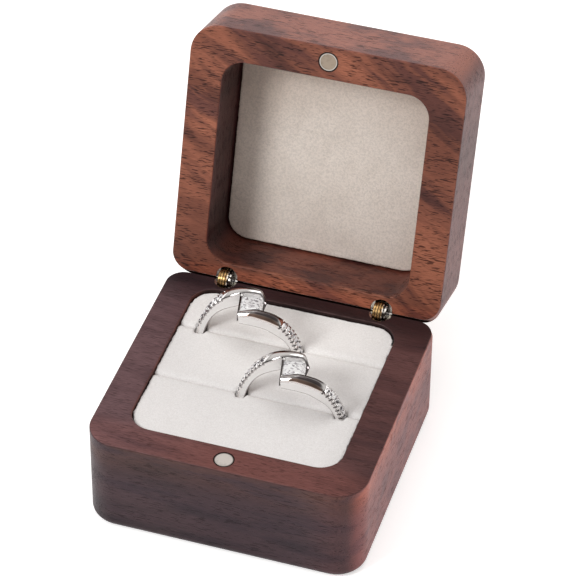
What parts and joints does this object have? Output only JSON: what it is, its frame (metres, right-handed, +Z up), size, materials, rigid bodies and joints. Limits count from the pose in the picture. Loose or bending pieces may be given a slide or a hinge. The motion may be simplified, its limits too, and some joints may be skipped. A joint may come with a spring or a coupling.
{
  "type": "ring display box",
  "caption": "Small square wooden ring box with round corners, a lid on barrel hinges, a velvet cushion whose slots hold rings upright, and magnets that keep it shut.",
  "frame": {"origin": "centre of the base's underside", "axes": "+Z up, +Y back to the hinges, +X along the front edge to the right"},
  "size_m": [0.0506, 0.0759, 0.0652],
  "materials": {
    "base_walnut": "satin oiled dark walnut",
    "lid_walnut": "satin oiled walnut with open pores",
    "card": "plain",
    "lid_velvet": "short velvet pile",
    "foam": "open foam",
    "pad_velvet": "short velvet pile",
    "nickel_magnet": "nickel plate",
    "nickel_barrel": "nickel plate",
    "brass_leaf": "polished",
    "brass_rivet": "plain",
    "steel_pin": "plain",
    "white_metal": "mirror polish",
    "clear_stone": "faceted and polished",
    "small_stones": "faceted and polished"
  },
  "bodies": {
    "base": {"base_body": "base_walnut", "cushion_card": "card", "cushion_underlay": "foam", "front_pad": "pad_velvet", "middle_pad": "pad_velvet", "rear_pad": "pad_velvet", "base_magnet": "nickel_magnet", "left_hinge_base_barrel": "nickel_barrel", "left_hinge_base_leaves": "brass_leaf", "left_hinge_base_rivet": "brass_rivet", "left_hinge_pin": "steel_pin", "right_hinge_base_barrel": "nickel_barrel", "right_hinge_base_leaves": "brass_leaf", "right_hinge_base_rivet": "brass_rivet", "right_hinge_pin": "steel_pin"},
    "lid": {"lid_body": "lid_walnut", "lid_lining_card": "card", "lid_lining_velvet": "lid_velvet", "lid_magnet": "nickel_magnet", "left_hinge_lid_barrel": "nickel_barrel", "left_hinge_lid_leaves": "brass_leaf", "left_hinge_lid_rivet": "brass_rivet", "right_hinge_lid_barrel": "nickel_barrel", "right_hinge_lid_leaves": "brass_leaf", "right_hinge_lid_rivet": "brass_rivet"},
    "front_ring": {"front_ring_band": "white_metal", "front_ring_centre_stone": "clear_stone", "front_ring_shoulder_stones": "small_stones"},
    "rear_ring": {"rear_ring_band": "white_metal", "rear_ring_centre_stone": "clear_stone", "rear_ring_shoulder_stones": "small_stones"}
  },
  "joints": [
    {"name": "lid_hinge", "type": "hinge", "parent": "base", "child": "lid", "pos_m": [0, 0.02272, 0.01965], "axis": [-1, 0, 0], "range_deg": [-106.9, 0]},
    {"name": "front_ring_lift", "type": "slide", "parent": "base", "child": "front_ring", "axis": [0, -0.0698, 0.9976], "range_m": [0, 0.0028]},
    {"name": "rear_ring_lift", "type": "slide", "parent": "base", "child": "rear_ring", "axis": [0, -0.0698, 0.9976], "range_m": [0, 0.0028]}
  ]
}
